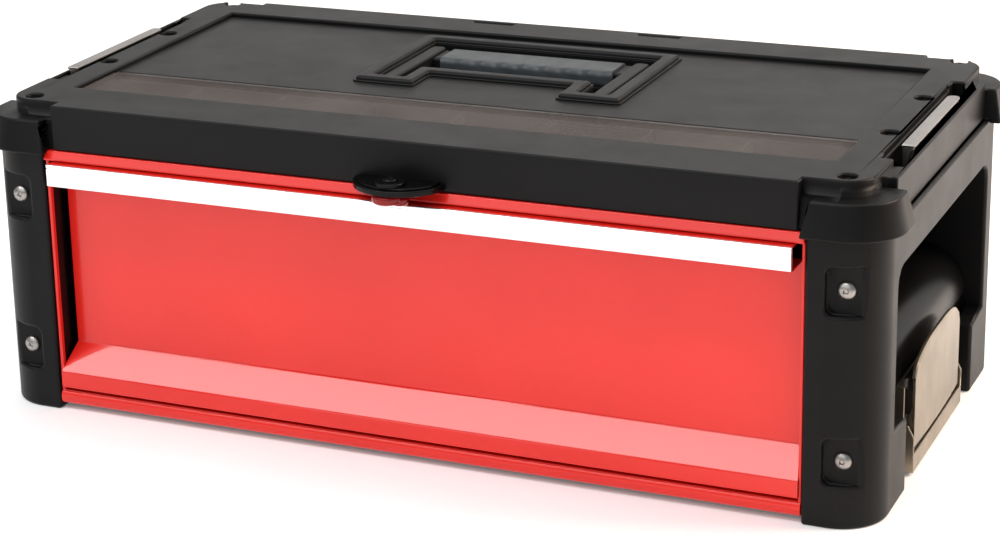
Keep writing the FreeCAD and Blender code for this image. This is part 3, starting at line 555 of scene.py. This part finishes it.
def handle_grip():
    """A soft sleeve whose front half is rippled for the fingers."""
    section = rectangle((39.5, 62.5), (157.8, 167.3), 3.2)
    half, pitch, depth, steps = 50.0, 12.5, 1.6, 128
    middle, fade, waist = 52, 9, 162
    bm = bmesh.new()
    rows = []
    for step in range(steps + 1):
        x = -half + 2 * half * step / steps
        ripple = 0.5 - 0.5 * math.cos(2 * math.pi * (x + half) / pitch)
        end = min(1, (half - abs(x)) / (half / 4))
        row = []
        for y, z in section:
            front = min(1, max(0, (middle - y) / fade))
            inward = depth * ripple * front * end
            row.append(at(x, y + inward, z - 0.6 * inward * (z > waist)))
        rows.append(row)
    add_grid(bm, rows, closed_rows=True, closed_ends=True)
    finish_piece("rippled_grip", bm, "handle_grip", ["handle_grip"])


carry_handle()
handle_grip()


# ---------------------------------------------------------------- lock

def lock():
    """An oval shelf in two tiers around the hub, with a red turn knob under it."""
    face, axis = -121.5, -133.6

    def shelf(half_long, half_short):
        turns = [math.pi * (1 + step / 32) for step in range(33)]
        return [Vector((half_long * math.cos(turn), face + half_short * math.sin(turn))) for turn in turns]

    lower, upper, hub = (146.8, 149.6), (149.5, 150.5), (150.4, 152.4)
    prism_piece("oval_shelf", "lock_lug",
                [("XY", lower, shelf(24, 21.5)), ("XY", upper, shelf(21.6, 19.2)),
                 ("XY", hub, oval((0, axis), 7.8, 7.8, 32))],
                replaced=["lock_lug"], bevel=0.8, segments=3, look="black_paint")
    disc, thumb = (141.6, 146.4), (140.5, 145.2)
    prism_piece("turn_knob", "lock_button",
                [("XY", disc, oval((-1.2, axis), 8.2, 8.6, 32)),
                 ("XY", thumb, oval((4.6, axis + 1.2), 4.6, 4.8, 28))],
                replaced=["lock_button"], bevel=1.6, segments=4)
    bm = bmesh.new()
    dome = [(1.2, 0.5), (1.5, 1.3), (3.2, 1.15), (3.9, 0.5), (4.0, 0.0), (3.6, -0.1)]
    add_turned(bm, at(0, axis, 152.6), Vector((0, 0, 1)), dome)
    finish_piece("lock_screw_head", bm, "lock_screw", ["lock_screw"], look="black_paint")


lock()


# ---------------------------------------------------------------- side frames, rivets and keepers

RIVET_X, RIVET_Y, RIVET_HEIGHTS = 223.4, 118.8, (33.4, 118.2)


def frame_rivets():
    """Domed heads with a dimple from the setting tool."""
    dome = [(0.9, 1.5), (1.2, 2.2), (1.7, 2.5), (2.9, 2.2), (3.9, 1.5), (4.5, 0.7), (4.6, 0.0), (4.4, -0.2)]
    bm = bmesh.new()
    for side in (-1, 1):
        for end in (-1, 1):
            for height in RIVET_HEIGHTS:
                add_turned(bm, at(RIVET_X * side, RIVET_Y * end, height), Vector((0, end, 0)), dome)
    finish_piece("dimpled_rivets", bm, "frame_rivets", ["frame_rivets"])


def keeper(word, side):
    """A polished bar: rounded at the rear, with a tab folded down to a point at the front."""
    inner, outer, half = 229 * side, 235.5 * side, 47
    low, high = min(inner, outer), max(inner, outer)
    bar = rounded([(low, -half), (high, -half), (high, half, 3), (low, half, 3)])
    tab = [(inner, 168.4), (outer, 168.4), (outer - 2 * side, 164.5), (inner + 3.4 * side, 157.0)]
    leg = [(inner, 168), (inner + 6 * side, 168), (inner + 5.2 * side, 152), (inner + 0.8 * side, 152)]
    tab, leg = ([Vector(point) for point in outline] for outline in (tab, leg))
    foot = (min(inner, inner + 6 * side), max(inner, inner + 6 * side))
    bar_levels, foot_levels = (167.2, 168.5), (152, 153.4)
    prisms = [("XY", bar_levels, bar), ("XZ", (-half, -46), tab),
              ("XZ", (-46, -45), leg), ("XY", foot_levels, rectangle(foot, (-45.5, -35))),
              ("XZ", (43.5, 44.7), leg), ("XY", foot_levels, rectangle(foot, (35, 44.5)))]
    prism_piece(word + "keeper_bar", word + "keeper", prisms, replaced=[word + "keeper"], bevel=0.35)


frame_rivets()
for word, side in SIDES:
    rounded_copy(word + "side_frame", 1.6, 3,
                 splits=[("z", height) for height in RIVET_HEIGHTS] + [("x", SCREW_X * side), ("y", 0)])
    keeper(word, side)


# ---------------------------------------------------------------- side latches

def latch_housing(word, side):
    """A shell with a round shoulder, stepped in below a rounded ledge where the latch sits."""
    near, far, ledge, top, half = 204.5, 230.0, 48.6, 73.0, 91.6
    corners = [(near, 5), (far - 0.1, 5, 2), (far - 0.1, ledge - 1.6, 0.5), (far + 1.6, ledge, 1.1),
               (far + 1.0, top, 22.5), (near, top)]
    section = [Vector((a * side, b)) for a, b in rounded(corners, 10)]
    bm = bmesh.new()
    add_prism(bm, "XZ", (-half, half), section)
    finish_piece(word + "shell", bm, word + "latch_housing", [word + "latch_housing"], bevel=1.4,
                 segments=3, look="black_paint")


def border_of(rows):
    """The points round the border of a grid of rows, in order."""
    return (rows[0] + [row[-1] for row in rows[1:]]
            + rows[-1][-2::-1] + [row[0] for row in rows[-2:0:-1]])


def latch_lever(word, side):
    """A crowned plate, slightly bowed, between two flanges."""
    half, low, shoulder, top, outer, thick, bow = 46.0, 12.0, 50.0, 63.2, 240.4, 1.2, 1.0
    steps = 32
    bm = bmesh.new()
    sheets = []
    for skin in (0, thick):
        rows = []
        for step in range(steps + 1):
            y = half * (2 * step / steps - 1)
            across = y / half
            out = outer - skin - bow * across ** 2
            crest = shoulder + (top - shoulder) * math.sqrt(max(0, 1 - abs(across) ** 2.6))
            heights = (low, low + 1.6, shoulder, crest - 1.2, crest)
            lean = (0.9, 0, 0, 0, 0.7)
            rows.append([at((out - back) * side, y, z) for z, back in zip(heights, lean)])
        sheets.append(rows)
    for rows in sheets:
        add_grid(bm, rows)
    add_grid(bm, [border_of(rows) for rows in sheets], closed_rows=True)
    # Each flange reaches back to both pins and tapers out above them.
    inner = outer - bow - thick
    flange = [(inner + 0.4, low + 0.4), (inner - 1.4, low + 0.4), (inner - 3.4, low + 2.2),
              (inner - 5.0, 25.1), (inner - 3.2, 26.5), (inner + 0.4, 35.5)]
    for end in (-1, 1):
        levels = (end * half, end * (half - thick))
        add_prism(bm, "XZ", levels, [Vector((a * side, b)) for a, b in flange])
    finish_piece(word + "crowned_lever", bm, word + "latch_lever", [word + "latch_lever"])


LATCH_EDGE = 0.32
for word, side in SIDES:
    latch_housing(word, side)
    latch_lever(word, side)
    rounded_copy(word + "latch_base", LATCH_EDGE, splits=[("y", -30), ("y", 30)])
    rounded_copy(word + "latch_hook", LATCH_EDGE, splits=[("z", 23.5)])


# ---------------------------------------------------------------- what is left

def dress_the_rest():
    """Every CAD node that nothing stands for keeps its shape and gets its material."""
    for node, thing in NODES.items():
        if not thing.hide_render:
            look = "black_paint" if node == "cover_hinge_pins" else SLOT_OF[node]
            thing.data.materials.clear()
            thing.data.materials.append(LOOKS[look])


dress_the_rest()


# ---------------------------------------------------------------- stage

def build_stage():
    """A pale floor that rises behind the box into a backdrop."""
    half, front, back, height, bend, steps = 4.0, -3.0, 1.8, 3.0, 0.8, 16
    profile = [(front, 0.0)]
    for step in range(steps + 1):
        turn = math.radians(90) * step / steps
        profile.append((back + bend * math.sin(turn), bend * (1 - math.cos(turn))))
    profile.append((back + bend, height))
    bm = bmesh.new()
    add_grid(bm, [[Vector((x, y, z)) for x in (-half, half)] for y, z in profile])
    mesh = bpy.data.meshes.new("backdrop")
    bm.to_mesh(mesh)
    bm.free()
    mesh.shade_smooth()
    backdrop = bpy.data.objects.new("backdrop", mesh)
    bpy.context.scene.collection.objects.link(backdrop)
    look = Look("pale_floor", Roughness=0.8, Emission_Color=(1, 1, 1, 1), Emission_Strength=0.1)
    look.colour(look.ramp(look.noise(3), (0.93, 0.93, 0.93), (0.96, 0.96, 0.96)))
    mesh.materials.append(look.material)


def soft_light(name, centre, aim, width, height, power, colour=(1, 1, 1)):
    """A rectangular light turned to a point, with its width kept level."""
    data = bpy.data.lights.new(name, "AREA")
    data.shape = "RECTANGLE"
    data.size, data.size_y = width, height
    data.energy = power
    data.color = colour
    light = bpy.data.objects.new(name, data)
    back = (Vector(centre) - Vector(aim)).normalized()
    level = Vector((0, 0, 1)).cross(back)
    level = level.normalized() if level.length > 0.01 else Vector((1, 0, 0))
    light.matrix_world = (Matrix.Translation(centre)
                          @ Matrix((level, back.cross(level), back)).transposed().to_4x4())
    bpy.context.scene.collection.objects.link(light)


def build_lights():
    """Even light from a bright room, with broad lights over the front, the top and the right."""
    world = bpy.data.worlds.new("studio")
    world.use_nodes = True
    background = world.node_tree.nodes["Background"]
    background.inputs["Color"].default_value = (1, 1, 1, 1)
    background.inputs["Strength"].default_value = 0.42
    bpy.context.scene.world = world
    soft_light("key", (-0.35, -1.5, 1.2), (0, 0, 0.08), 2.4, 1.2, 12)
    soft_light("front_top", (-0.5, -0.54, 1.1), (-0.5, -0.54, 0), 1.25, 0.2, 7.5)
    soft_light("overhead", (0.0, 0.3, 1.7), (0, 0.1, 0.1), 1.6, 1.0, 8)
    soft_light("warm_right", (1.3, 0.6, 1.0), (0.5, 0.35, 0.0), 0.9, 0.9, 34, (1.0, 0.79, 0.64))
    soft_light("backdrop_wash", (0, 1.2, 2.2), (0, 2.4, 0.6), 3.0, 0.6, 12)


def build_camera():
    """A long lens from the front right, a little above the box."""
    azimuth, elevation, roll = (math.radians(angle) for angle in (25.353, 17.575, -1.803))
    distance, slide, lift = 1.387739, -0.053006, 0.011871
    back = Vector((math.sin(azimuth) * math.cos(elevation), -math.cos(azimuth) * math.cos(elevation),
                   math.sin(elevation)))
    level = Vector((math.cos(azimuth), math.sin(azimuth), 0))
    upright = back.cross(level)
    right = math.cos(roll) * level + math.sin(roll) * upright
    up = math.cos(roll) * upright - math.sin(roll) * level
    data = bpy.data.cameras.new("camera")
    data.sensor_width = 36
    data.lens = 93.02
    data.shift_x, data.shift_y = 0.10, -0.067
    data.clip_start, data.clip_end = 0.05, 30
    camera = bpy.data.objects.new("camera", data)
    place = at(0, 0, 90) + back * distance + right * slide + up * lift
    camera.matrix_world = Matrix.Translation(place) @ Matrix((right, up, back)).transposed().to_4x4()
    bpy.context.scene.collection.objects.link(camera)
    bpy.context.scene.camera = camera


build_stage()
build_lights()
build_camera()
bpy.context.scene.view_settings.view_transform = "Standard"
